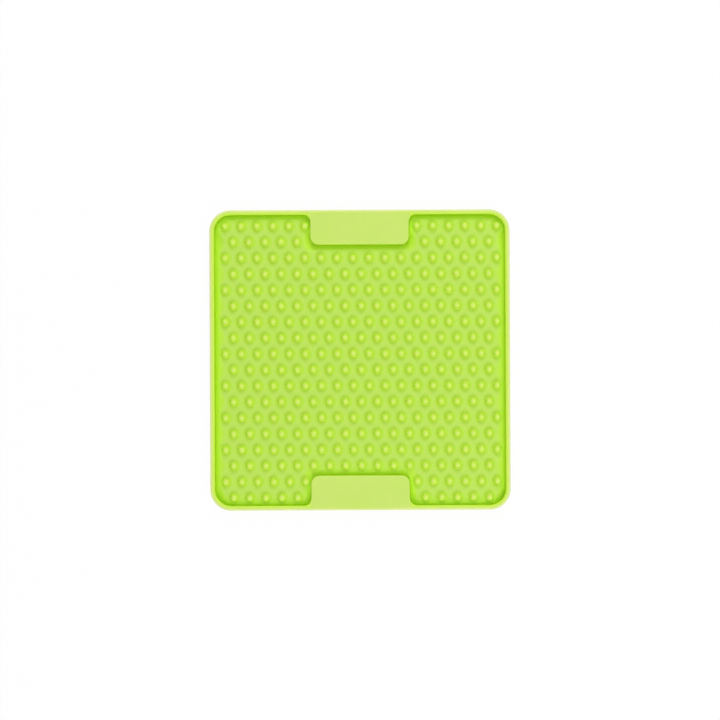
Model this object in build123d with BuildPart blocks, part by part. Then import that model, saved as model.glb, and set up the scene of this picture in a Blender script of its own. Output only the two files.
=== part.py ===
from build123d import *
from math import hypot, isclose, radians, tan
import os

# Lick mat: a firm square tray with a raised rim and two bare label plates, and a soft pad with rows of
# domed nubs moulded into it. Millimetres and degrees. +Z is up, +Y is the edge with the first nub row,
# and the origin is under the middle of the mat, on the surface that it lies on.

# Tray. The sizes across are those at the top of the rim, and the walls lean in towards the floor.
mat_side = 200.0
corner_radius = 14.0
rim_width = 3.0
rim_outer_round = 1.0
rim_inner_round = 0.7
wall_draft = 1.5
tray_floor = 1.5
sole_round = 0.5  # bottom edge of the outer wall
lick_depth = 4.5  # from the face of the pad up to the top of the rim
round_share = 0.45  # most of a wall's width that the round on one of its edges may take

# Label plates, one in the middle of the +Y edge and one in the middle of the -Y edge
plate_width = 65.5  # along the edge of the mat
plate_depth = 23.0  # in from the edge of the mat
plate_corner = 5.3  # the two free corners
plate_root = 5.0  # the hollow corners where a plate grows out of the rim
plate_skin = 2.0  # left over the hollow under a plate
plate_wall = 2.5  # left around that hollow
hollow_corner = 3.0

# Lick pad
pad_thickness = 1.5

# Grip feet: plugs of the pad that pass through the tray floor
foot_stand = 0.5  # how far they hold the tray off the surface
foot_diameter = 10.0
foot_edge_round = 0.25
foot_inset = 19.0  # from the edge of the mat to the middle of an outer foot
foot_land = 0.7  # tray floor left over the head of a foot
neck_diameter = 5.0

# Nubs, in staggered rows
nub_pitch = 10.65  # along a row, and from row to row
nub_diameter = 6.1  # at the foot
nub_tip_diameter = 3.3  # before its edge is rounded
nub_height = 4.0
nub_round = 1.45
nub_spare = 1.5  # least gap from an end nub to the rim, which sets how many fit
nub_clearance = 0.3  # least gap from any nub to a plate or a rounded corner
field_shift_x = 0.85  # the field of nubs sits slightly off the middle of the mat
field_shift_y = -1.1

# Heights
floor_top = foot_stand + tray_floor
foot_top = floor_top - foot_land
pad_top = floor_top + pad_thickness
rim_top = pad_top + lick_depth

# The recess inside the rim, at its top and at the face of the pad
recess_side = mat_side - 2 * rim_width
recess_corner = corner_radius - rim_width
plate_edge = mat_side / 2 - plate_depth
lean_to_pad = lick_depth * tan(radians(wall_draft))
pad_side = recess_side - 2 * lean_to_pad
pad_corner = recess_corner - lean_to_pad

# Feet stand three by three, less the two that would come under the label plates
foot_place = mat_side / 2 - foot_inset
foot_spots = [
    (x * foot_place, y * foot_place)
    for x in (-1, 0, 1)
    for y in (-1, 0, 1)
    if x != 0 or y == 0
]

# The tray's outer form and the form of its recess are drawn at the rim and narrow away from it, so both
# are made face down, with the top of the rim at Z = 0, and then turned over
turned_over = Location((0, 0, rim_top), (180, 0, 0))

with BuildPart() as outer_form:
    with BuildSketch():
        RectangleRounded(mat_side, mat_side, corner_radius)
    extrude(amount=rim_top - foot_stand, taper=wall_draft)
    outer_edge = outer_form.faces().sort_by(Axis.Z)[0].edges()
    fillet(outer_edge, min(rim_outer_round, round_share * rim_width))
    sole_edge = outer_form.faces().sort_by(Axis.Z)[-1].edges()
    fillet(sole_edge, sole_round)


def plate_corners(outline, reach):
    """The corners at the sides of the plates that lie this far from the middle line of the mat."""
    at_sides = outline.vertices().filter_by(lambda corner: isclose(abs(corner.X), plate_width / 2))
    return at_sides.filter_by(lambda corner: isclose(abs(corner.Y), reach))


with BuildPart() as recess_form:
    with BuildSketch() as recess_outline:
        RectangleRounded(recess_side, recess_side, recess_corner)
        notch_depth = recess_side / 2 - plate_edge
        notch_place = plate_edge + notch_depth / 2
        with Locations((0, notch_place), (0, -notch_place)):
            Rectangle(plate_width, notch_depth, mode=Mode.SUBTRACT)
        fillet(plate_corners(recess_outline, plate_edge), plate_corner)
        fillet(plate_corners(recess_outline, recess_side / 2), plate_root)
    extrude(amount=rim_top - floor_top, taper=wall_draft)

# Tray
with BuildPart() as tray:
    with Locations(turned_over):
        add(outer_form.part)
        add(recess_form.part, mode=Mode.SUBTRACT)
    inner_edge = tray.faces().sort_by(Axis.Z)[-1].inner_wires().edges()
    fillet(inner_edge, min(rim_inner_round, round_share * rim_width))

    # Hollows under the label plates, so that the walls there stay thin
    hollow_depth = plate_depth - 2 * plate_wall
    hollow_place = mat_side / 2 - plate_depth / 2
    with BuildSketch(Plane.XY.offset(foot_stand)):
        with Locations((0, hollow_place), (0, -hollow_place)):
            RectangleRounded(plate_width - 2 * plate_wall, hollow_depth, hollow_corner)
    extrude(amount=rim_top - plate_skin - foot_stand, taper=wall_draft, mode=Mode.SUBTRACT)

    # Seats of the grip feet, drilled from underneath
    with Locations(Location((0, 0, foot_stand), (180, 0, 0))):
        with Locations(*foot_spots):
            CounterBoreHole(neck_diameter / 2, foot_diameter / 2, foot_top - foot_stand, tray_floor)
tray.part.label = "tray"

# Lick pad, with its grip feet
with BuildPart() as lick_pad:
    with Locations(turned_over):
        add(recess_form.part)
    split(bisect_by=Plane.XY.offset(pad_top), keep=Keep.BOTTOM)
    with BuildSketch(Plane.XY.offset(foot_top)):
        with Locations(*foot_spots):
            Circle(neck_diameter / 2)
    extrude(amount=floor_top - foot_top)
    with BuildSketch(Plane.XY):
        with Locations(*foot_spots):
            Circle(foot_diameter / 2)
    extrude(amount=foot_top)
    foot_edges = lick_pad.edges().group_by(Axis.Z)[0]
    fillet(foot_edges, foot_edge_round)
lick_pad.part.label = "lick_pad"

# One nub, turned about its own axis
with BuildPart() as nub:
    with BuildSketch(Plane.XZ) as nub_half:
        with BuildLine():
            Polyline(
                (0, 0),
                (nub_diameter / 2, 0),
                (nub_tip_diameter / 2, nub_height),
                (0, nub_height),
                close=True,
            )
        make_face()
        tip_corner = nub_half.vertices().group_by(Axis.Y)[-1].sort_by(Axis.X)[-1]
        fillet(tip_corner, min(nub_round, round_share * nub_tip_diameter))
    revolve(axis=Axis.Z)


def fits_across(shift):
    """How many nubs fit across the pad, centred on a line this far off its middle."""
    room = pad_side - 2 * (nub_diameter / 2 + nub_spare + abs(shift))
    return int(room // nub_pitch) + 1


def stands_clear(x, y):
    """Whether a nub here clears the plates, the walls and the rounded corners."""
    reach = nub_diameter / 2 + nub_clearance
    beside_plate = abs(x) - plate_width / 2 - lean_to_pad
    before_plate = plate_edge - lean_to_pad - abs(y)
    from_plate = hypot(max(beside_plate, 0), max(before_plate, 0))
    straight = pad_side / 2 - pad_corner
    into_corner = hypot(max(abs(x) - straight, 0), max(abs(y) - straight, 0))
    return from_plate >= reach and into_corner <= pad_corner - reach


row_count = fits_across(field_shift_y)
full_row = fits_across(field_shift_x)


def row_spots(row):
    """Where the nubs of a row stand. Every second row has one nub fewer and sits half a pitch over."""
    count = full_row - row % 2
    y = field_shift_y + nub_pitch * ((row_count - 1) / 2 - row)
    across = [field_shift_x + nub_pitch * (step - (count - 1) / 2) for step in range(count)]
    return [(x, y, pad_top) for x in across if stands_clear(x, y)]


# Every piece goes to its own file, the nubs row by row
os.makedirs("parts", exist_ok=True)
export_step(tray.part, "parts/tray.step")
export_step(lick_pad.part, "parts/lick_pad.step")

nub_total = 0
for row in range(row_count):
    spots = row_spots(row)
    with BuildPart() as nub_row:
        with Locations(*spots):
            add(nub.part)
    row_name = f"nub_row_{row + 1:02d}"
    nub_row.part.label = row_name
    export_step(nub_row.part, f"parts/{row_name}.step")
    nub_total += len(spots)

print(f"{nub_total} nubs in {row_count} rows, mat {mat_side:g} mm square and {rim_top:g} mm high")
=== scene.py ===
import math
import bpy
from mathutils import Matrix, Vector


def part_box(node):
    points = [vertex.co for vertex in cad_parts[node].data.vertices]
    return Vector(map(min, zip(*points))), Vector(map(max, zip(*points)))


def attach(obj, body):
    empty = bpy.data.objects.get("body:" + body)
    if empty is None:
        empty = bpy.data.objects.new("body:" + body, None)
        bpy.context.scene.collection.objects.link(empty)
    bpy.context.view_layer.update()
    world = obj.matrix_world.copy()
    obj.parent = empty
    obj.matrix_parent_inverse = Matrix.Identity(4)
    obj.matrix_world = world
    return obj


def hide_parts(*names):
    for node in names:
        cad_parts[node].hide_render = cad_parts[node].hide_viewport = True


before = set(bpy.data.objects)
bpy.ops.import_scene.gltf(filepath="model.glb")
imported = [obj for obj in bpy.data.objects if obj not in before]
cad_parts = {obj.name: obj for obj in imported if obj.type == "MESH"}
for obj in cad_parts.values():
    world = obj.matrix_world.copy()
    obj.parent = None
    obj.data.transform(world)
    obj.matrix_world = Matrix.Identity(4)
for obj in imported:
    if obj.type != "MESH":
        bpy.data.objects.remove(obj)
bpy.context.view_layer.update()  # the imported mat, all of it on the body root
mm = 0.001
print("frame loaded,", len(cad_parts), "nodes")


# a socket that takes part in sums
class Wire:
    def __init__(self, bench, socket):
        self.bench = bench
        self.socket = socket

    def __add__(self, other):
        return self.bench.maths("ADD", self, other)

    def __radd__(self, other):
        return self.bench.maths("ADD", other, self)

    def __sub__(self, other):
        return self.bench.maths("SUBTRACT", self, other)

    def __rsub__(self, other):
        return self.bench.maths("SUBTRACT", other, self)

    def __mul__(self, other):
        return self.bench.maths("MULTIPLY", self, other)

    def __pow__(self, other):
        return self.bench.maths("POWER", self, other)

    def __abs__(self):
        return self.bench.maths("ABSOLUTE", self, 0.0)


# the node tree of one material, or of the world
class Bench:
    def __init__(self, owner):
        owner.use_nodes = True
        self.owner = owner
        self.tree = owner.node_tree
        self.tree.nodes.clear()

    def node(self, kind, settings=None, inputs=None, out=0):
        made = self.tree.nodes.new(kind)
        for key, value in (settings or {}).items():
            setattr(made, key, value)
        for key, value in (inputs or {}).items():
            if isinstance(value, Wire):
                self.tree.links.new(value.socket, made.inputs[key])
            else:
                made.inputs[key].default_value = value
        return Wire(self, made.outputs[out]) if made.outputs else made

    def maths(self, operation, left, right):
        return self.node("ShaderNodeMath", {"operation": operation}, {0: left, 1: right})

    def larger(self, left, right):
        return self.maths("MAXIMUM", left, right)

    def smaller(self, left, right):
        return self.maths("MINIMUM", left, right)

    def hypot(self, left, right):
        return (left ** 2 + right ** 2) ** 0.5

    def place(self):
        return self.node("ShaderNodeTexCoord", out="Object")  # in metres

    def part(self, place, axis):
        return self.node("ShaderNodeSeparateXYZ", None, {"Vector": place}, out=axis)

    def fold(self, value, pitch):
        # distance to the nearest of many lines that stand a pitch apart
        return self.maths("PINGPONG", value, pitch / 2)

    def noise(self, place, size, detail, roughness):
        return self.node(
            "ShaderNodeTexNoise",
            {"noise_dimensions": "3D"},
            {"Vector": place, "Scale": 1 / size, "Detail": detail, "Roughness": roughness},
        )

    def step(self, value, low, high):
        return self.node(
            "ShaderNodeMapRange",
            {"interpolation_type": "SMOOTHSTEP", "clamp": True},
            {"Value": value, "From Min": low, "From Max": high, "To Min": 0.0, "To Max": 1.0},
        )

    def mix(self, share, first, second):
        sockets = {"Factor": share, 6: first, 7: second}
        return self.node("ShaderNodeMix", {"data_type": "RGBA", "blend_type": "MIX"}, sockets, out=2)

    def bump(self, height, depth):
        return self.node("ShaderNodeBump", None, {"Strength": 1.0, "Distance": depth, "Height": height})

    def seen(self):
        # 1 on what the camera sees, straight, in a reflection or through something clear
        rays = [
            self.node("ShaderNodeLightPath", out=kind)
            for kind in ("Is Camera Ray", "Is Glossy Ray", "Is Transmission Ray")
        ]
        return self.larger(self.larger(rays[0], rays[1]), rays[2])

    def finish(self, shader, kind="ShaderNodeOutputMaterial"):
        self.node(kind, None, {"Surface": shader})
        return self.owner


def srgb(red, green, blue):
    # a colour picked as 0 to 255, as a linear one
    def linear(level):
        part = level / 255
        return part / 12.92 if part <= 0.04045 else ((part + 0.055) / 1.055) ** 2.4

    return (linear(red), linear(green), linear(blue), 1.0)


def deselectAll():
    if bpy.context.mode != "OBJECT":
        bpy.ops.object.mode_set(mode="OBJECT")
    bpy.ops.object.select_all(action="DESELECT")


def makeActive(piece):
    deselectAll()
    piece.select_set(True)
    bpy.context.view_layer.objects.active = piece


def dress(piece, material):
    piece.data.materials.clear()
    piece.data.materials.append(material)


# both shots let a little light in at the skin
limeSkin = {
    "IOR": 1.41,
    "Subsurface Weight": 0.5,
    "Subsurface Radius": (0.8, 1.0, 0.12),
    "Subsurface Scale": 1.6 * mm,
}

# broad mottle and fine mould grain of both shots
limeNoise = {
    "mottleDetail": 3.0,
    "grainDetail": 2.0,
    "roughness": 0.6,
    "middle": 0.5,  # mean level of the mottle
}


def limeMottle(bench, place, size):
    return bench.noise(place, size, limeNoise["mottleDetail"], limeNoise["roughness"])


def limeShader(bench, place, look, colour, roughness):
    grain = bench.noise(place, look["grainSize"], limeNoise["grainDetail"], limeNoise["roughness"])
    inputs = {
        "Base Color": colour,
        "Roughness": roughness,
        "Normal": bench.bump(grain, look["grainDepth"]),
        **limeSkin,
    }
    return bench.node("ShaderNodeBsdfPrincipled", None, inputs)


def edgeDistance(bench, place, half, corner):
    # how far a point lies in from a rounded square outline
    overX = abs(bench.part(place, "X")) - (half - corner)
    overY = abs(bench.part(place, "Y")) - (half - corner)
    cornerReach = bench.hypot(bench.larger(overX, 0.0), bench.larger(overY, 0.0))
    return corner - cornerReach - bench.smaller(bench.larger(overX, overY), 0.0)


def plateDistance(bench, place, half, edge):
    # how far a point lies from the nearer label plate, 0 on the plate
    beside = bench.larger(abs(bench.part(place, "X")) - half, 0.0)
    before = bench.larger(edge - abs(bench.part(place, "Y")), 0.0)
    return bench.hypot(beside, before)


# firm lime moulding: rim, label plates and underside
trayLook = {
    "face": srgb(207, 233, 114),
    "mottle": srgb(204, 232, 109),
    "edge": srgb(228, 236, 158),  # painted highlight along the rounded outer edge, where it is also rubbed pale
    "edgeBand": 2.2 * mm,
    "edgeWander": 0.8 * mm,  # how unevenly the painted highlight and rubbed band runs
    "edgeDrop": 3.0 * mm,  # how far down the outside it shows
    "lip": srgb(207, 240, 76),  # painted shade: deeper lime towards the inner edge of the rim, standing in for its shaded inner round
    "lipBand": (1.0 * mm, 3.1 * mm),
    "wall": srgb(216, 252, 50),  # painted shade on the inner walls: saturated lime standing in for light that only gets there by way of the lime itself
    "wallBand": (1.2 * mm, 2.6 * mm),
    "wallDrop": 1.1 * mm,
    "wallFoot": (2.0 * mm, 3.0 * mm),  # the painted wall shade stops short of the underside
    "cornerRadius": 14.0 * mm,
    "plateHalf": 32.75 * mm,
    "plateEdge": 77.0 * mm,
    "plateBlend": 1.5 * mm,
    "mottleSize": 30 * mm,
    "mottleSpan": (0.35, 0.65),
    "grainSize": 0.35 * mm,
    "grainDepth": 0.006 * mm,
    "roughness": 0.42,
    "roughnessSpread": 0.10,
    "rubbedGloss": 0.06,
}


def trayMaterial(box):
    look = trayLook
    half, top = box[1].x, box[1].z
    bench = Bench(bpy.data.materials.new("limeTray"))
    place = bench.place()
    height = bench.part(place, "Z")
    inward = edgeDistance(bench, place, half, look["cornerRadius"])
    fromPlate = plateDistance(bench, place, look["plateHalf"], look["plateEdge"])
    mottle = limeMottle(bench, place, look["mottleSize"])
    uneven = mottle - limeNoise["middle"]

    # painted highlight and rubbed wear: the rim is paler along its rounded outer edge
    rubbedAndHighlit = 1 - bench.step(inward + uneven * look["edgeWander"], 0.0, look["edgeBand"])
    aboveFoot = bench.step(height, *look["wallFoot"])
    offPlate = bench.step(fromPlate, 0.0, look["plateBlend"])
    # painted shade towards the inner edge of the rim
    paintedLipShade = bench.step(inward, *look["lipBand"]) * offPlate * aboveFoot
    belowTop = 1 - bench.step(height, top - look["wallDrop"], top)
    # painted shade on the inner walls, below the top of the rim
    paintedWallShade = bench.step(inward, *look["wallBand"]) * belowTop * aboveFoot

    colour = bench.mix(bench.step(mottle, *look["mottleSpan"]), look["face"], look["mottle"])
    colour = bench.mix(rubbedAndHighlit * bench.step(height, top - look["edgeDrop"], top), colour, look["edge"])
    colour = bench.mix(paintedLipShade, colour, look["lip"])
    colour = bench.mix(paintedWallShade, colour, look["wall"])
    roughness = look["roughness"] + uneven * look["roughnessSpread"] - rubbedAndHighlit * look["rubbedGloss"]
    return bench.finish(limeShader(bench, place, look, colour, roughness))


# nubs of the soft pad, in millimetres
nubSizes = {
    "pitch": 10.65,
    "footRadius": 3.05,
    "sides": 12,
    "collarRadius": 3.45,  # flat ring in the face of the pad
    "filletRadius": 3.2,  # where the foot starts to curve up
    # radius and height of each ring from the foot to the tip
    "rings": [(2.96, 0.3), (2.02, 2.95), (1.64, 3.55), (0.95, 3.92)],
    "height": 4.0,
}


def nubSpots(node):
    # where the nubs of a row stand, read from its node
    low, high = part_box(node)
    pitch = nubSizes["pitch"] * mm
    first = low.x + nubSizes["footRadius"] * mm
    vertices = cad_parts[node].data.vertices
    steps = sorted({round((vertex.co.x - first) / pitch) for vertex in vertices})
    return [(first + step * pitch, (low.y + high.y) / 2, low.z) for step in steps]


def pullUp(rise):
    bpy.ops.mesh.extrude_edges_move(TRANSFORM_OT_translate={"value": (0, 0, rise * mm)})


def drawIn(scale):
    bpy.ops.transform.resize(value=(scale, scale, 1), center_override=(0, 0, 0))


def modelNub():
    size = nubSizes
    deselectAll()
    bpy.ops.mesh.primitive_circle_add(
        vertices=size["sides"], radius=size["collarRadius"] * mm, fill_type="NOTHING", location=(0, 0, 0)
    )
    nub = bpy.context.active_object
    nub.name = "nub"
    bpy.ops.object.mode_set(mode="EDIT")
    bpy.ops.mesh.select_mode(type="EDGE")
    bpy.ops.mesh.select_all(action="SELECT")
    radius, height = size["collarRadius"], 0.0
    for nextRadius, nextHeight in [(size["filletRadius"], 0.0)] + size["rings"]:
        pullUp(nextHeight - height)
        drawIn(nextRadius / radius)
        radius, height = nextRadius, nextHeight
    # last ring closes on the tip
    pullUp(size["height"] - height)
    bpy.ops.mesh.merge(type="CENTER")
    bpy.ops.object.mode_set(mode="OBJECT")
    return nub


# soft lime moulding: pad and nubs
padLook = {
    "floor": srgb(196, 230, 98),
    "side": srgb(197, 235, 60),  # painted shade on the sides of the nubs
    # painted highlight on the nub tips
    "tip": srgb(212, 236, 106),
    "crease": srgb(195, 238, 58),  # painted shade along the foot of the walls and the label plates
    "creaseBand": (1.5 * mm, 6.5 * mm),
    "foot": srgb(190, 229, 70),  # painted shade: deeper lime round the foot of every nub
    "footBand": (3.4 * mm, 5.7 * mm),
    "cornerRadius": 10.9 * mm,
    "plateHalf": 32.9 * mm,  # the label plates, as the pad goes round them
    "plateEdge": 76.9 * mm,
    "sideBand": (0.05 * mm, 0.5 * mm),  # heights over the face of the pad
    "tipBand": (0.7 * mm, 2.8 * mm),  # out from the middle of a nub, where the painted highlight on its tip is palest
    "tipWander": 0.5 * mm,  # how unevenly the painted tip highlight and rubbed gloss run
    "mottleSize": 25 * mm,
    "grainSize": 0.3 * mm,
    "grainDepth": 0.006 * mm,
    "roughness": 0.45,
    "roughnessSpread": 0.08,
    "tipGloss": 0.09,
}


def nubDistance(bench, place, firstSpot):
    # from a point to the middle of the nearest nub; every second row sits half a pitch over
    pitch = nubSizes["pitch"] * mm
    acrossRow = bench.part(place, "X") - firstSpot[0]
    downRows = bench.part(place, "Y") - firstSpot[1]
    near = [
        bench.hypot(bench.fold(acrossRow + shift / 2, pitch), bench.fold(downRows + shift, 2 * pitch))
        for shift in (0.0, pitch)
    ]
    return bench.smaller(*near)


def padMaterial(faceHeight, half, firstSpot):
    look = padLook
    bench = Bench(bpy.data.materials.new("limePad"))
    place = bench.place()
    height = bench.part(place, "Z") - faceHeight
    fromPlate = plateDistance(bench, place, look["plateHalf"], look["plateEdge"])
    fromWall = bench.smaller(edgeDistance(bench, place, half, look["cornerRadius"]), fromPlate)
    fromNub = nubDistance(bench, place, firstSpot)
    uneven = limeMottle(bench, place, look["mottleSize"]) - limeNoise["middle"]

    onSide = bench.step(height, *look["sideBand"])
    # painted highlight on the nub tips, which are also rubbed glossier
    tipHighlitAndRubbed = onSide * (1 - bench.step(fromNub + uneven * look["tipWander"], *look["tipBand"]))

    # painted shade round the feet of the nubs
    colour = bench.mix(bench.step(fromNub, *look["footBand"]), look["foot"], look["floor"])
    # painted shade in the crease along the walls and plates
    colour = bench.mix(bench.step(fromWall, *look["creaseBand"]), look["crease"], colour)
    # painted shade on the nub sides
    colour = bench.mix(onSide, colour, look["side"])
    colour = bench.mix(tipHighlitAndRubbed, colour, look["tip"])
    roughness = look["roughness"] - tipHighlitAndRubbed * look["tipGloss"] + uneven * look["roughnessSpread"]
    return bench.finish(limeShader(bench, place, look, colour, roughness))


# sheet of the soft pad, in millimetres and degrees
padSizes = {
    "mergeGap": 0.002,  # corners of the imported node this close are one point
    "faceUp": 0.9,  # least Z of the normal of its top face
    "faceGap": 0.01,  # most that a part of that face lies off its height
    "smoothAngle": 60,
}


def modelPad():
    size = padSizes
    rows = sorted(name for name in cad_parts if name.startswith("nub_row"))
    nub = modelNub()
    field = []
    for row in rows:
        for spot in nubSpots(row):
            copy = nub.copy()
            copy.data = nub.data.copy()
            copy.location = spot
            bpy.context.scene.collection.objects.link(copy)
            field.append(copy)
    bpy.data.objects.remove(nub)
    print(len(field), "nubs placed in", len(rows), "rows")

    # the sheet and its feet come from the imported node, less its plain top face
    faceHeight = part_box(rows[0])[0].z
    pad = bpy.data.objects.new("lickPad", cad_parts["lick_pad"].data.copy())
    bpy.context.scene.collection.objects.link(pad)
    makeActive(pad)
    bpy.ops.object.mode_set(mode="EDIT")
    bpy.ops.mesh.select_mode(type="FACE")
    bpy.ops.mesh.select_all(action="SELECT")
    bpy.ops.mesh.remove_doubles(threshold=size["mergeGap"] * mm)
    bpy.ops.mesh.select_all(action="DESELECT")
    bpy.ops.object.mode_set(mode="OBJECT")
    for face in pad.data.polygons:
        atTop = abs(face.center.z - faceHeight) < size["faceGap"] * mm
        face.select = atTop and face.normal.z > size["faceUp"]
    bpy.ops.object.mode_set(mode="EDIT")
    bpy.ops.mesh.delete(type="FACE")
    bpy.ops.object.mode_set(mode="OBJECT")

    # nubs join the sheet, and a new face is filled in around their feet
    for copy in field:
        copy.select_set(True)
    bpy.ops.object.join()
    bpy.ops.object.mode_set(mode="EDIT")
    bpy.ops.mesh.select_mode(type="EDGE")
    bpy.ops.mesh.select_all(action="DESELECT")
    bpy.ops.mesh.select_non_manifold(
        use_wire=True, use_boundary=True, use_multi_face=False, use_non_contiguous=False, use_verts=False
    )
    bpy.ops.mesh.fill(use_beauty=True)
    bpy.ops.mesh.select_all(action="SELECT")
    bpy.ops.mesh.normals_make_consistent(inside=False)
    bpy.ops.object.mode_set(mode="OBJECT")
    bpy.ops.object.shade_smooth_by_angle(angle=math.radians(size["smoothAngle"]))
    print("pad modelled,", len(pad.data.polygons), "faces")

    dress(pad, padMaterial(faceHeight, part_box("lick_pad")[1].x, nubSpots(rows[0])[0]))
    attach(pad, "root")
    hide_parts("lick_pad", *rows)


# floor and light, in metres
stageSetup = {
    "floorSize": 4.0,
    "floorColour": (0.95, 0.95, 0.95, 1.0),
    "floorGlow": 0.95,  # share of the floor that the camera sees as plain white, over the mat's shadow
    "white": (1.0, 1.0, 1.0, 1.0),
    "skyStrength": 0.557,
    # place, width and watts of each lamp: back, front, back right and front right of the mat
    "lamps": [
        ((0.0, 1.115, 1.0), 0.5, 5.7),
        ((0.0, -1.115, 1.0), 0.5, 4.3),
        ((0.75, 0.75, 1.06), 0.5, 1.6),
        ((0.75, -0.75, 1.06), 0.5, 3.1),
    ],
}


def floorMaterial():
    bench = Bench(bpy.data.materials.new("paleFloor"))
    shadowed = bench.node("ShaderNodeBsdfDiffuse", None, {"Color": stageSetup["floorColour"]})
    white = bench.node("ShaderNodeEmission", None, {"Color": stageSetup["white"], "Strength": 1.0})
    share = bench.seen() * stageSetup["floorGlow"]
    return bench.finish(bench.node("ShaderNodeMixShader", None, {0: share, 1: shadowed, 2: white}))


def skyWorld():
    # plain soft light all round, and white behind the mat
    bench = Bench(bpy.data.worlds.new("softSky"))
    dim = stageSetup["skyStrength"]
    strength = dim + bench.seen() * (1 - dim)
    sky = bench.node("ShaderNodeBackground", None, {"Color": stageSetup["white"], "Strength": strength})
    return bench.finish(sky, "ShaderNodeOutputWorld")


def buildStage():
    setup = stageSetup
    deselectAll()
    bpy.ops.mesh.primitive_plane_add(size=setup["floorSize"], location=(0, 0, 0))
    floor = bpy.context.active_object
    floor.name = "floor"
    dress(floor, floorMaterial())

    bpy.context.scene.world = skyWorld()
    for place, size, power in setup["lamps"]:
        bpy.ops.object.light_add(type="AREA", location=place)
        lamp = bpy.context.active_object
        lamp.data.size = size
        lamp.data.energy = power
        lamp.rotation_euler = Vector(place).to_track_quat("Z", "Y").to_euler()
    print("stage built")


# camera, straight above the mat as in the photograph
cameraSetup = {
    "above": 1.4,  # metres from the top of the rim
    "pixelsPerMm": 1.503,  # at the top of the rim
    "turn": 0.25,  # degrees that the mat is turned in the picture
    "pictureWidth": 720,
    "sensor": 36.0,  # millimetres
    "clipEnd": 20.0,
}


def placeCamera():
    setup = cameraSetup
    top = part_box("tray")[1].z
    turn = math.radians(setup["turn"])
    bpy.ops.object.camera_add(location=(0, 0, top + setup["above"]), rotation=(0, 0, -turn))
    camera = bpy.context.active_object
    camera.data.sensor_width = setup["sensor"]
    viewWidth = setup["pictureWidth"] / setup["pixelsPerMm"] * mm
    camera.data.lens = setup["sensor"] * setup["above"] / viewWidth
    camera.data.clip_end = setup["clipEnd"]
    bpy.context.scene.camera = camera
    bpy.context.scene.view_settings.view_transform = "Standard"
    print("camera placed, lens", round(camera.data.lens, 1))


placeCamera()
buildStage()
modelPad()
dress(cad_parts["tray"], trayMaterial(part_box("tray")))
print("tray dressed")
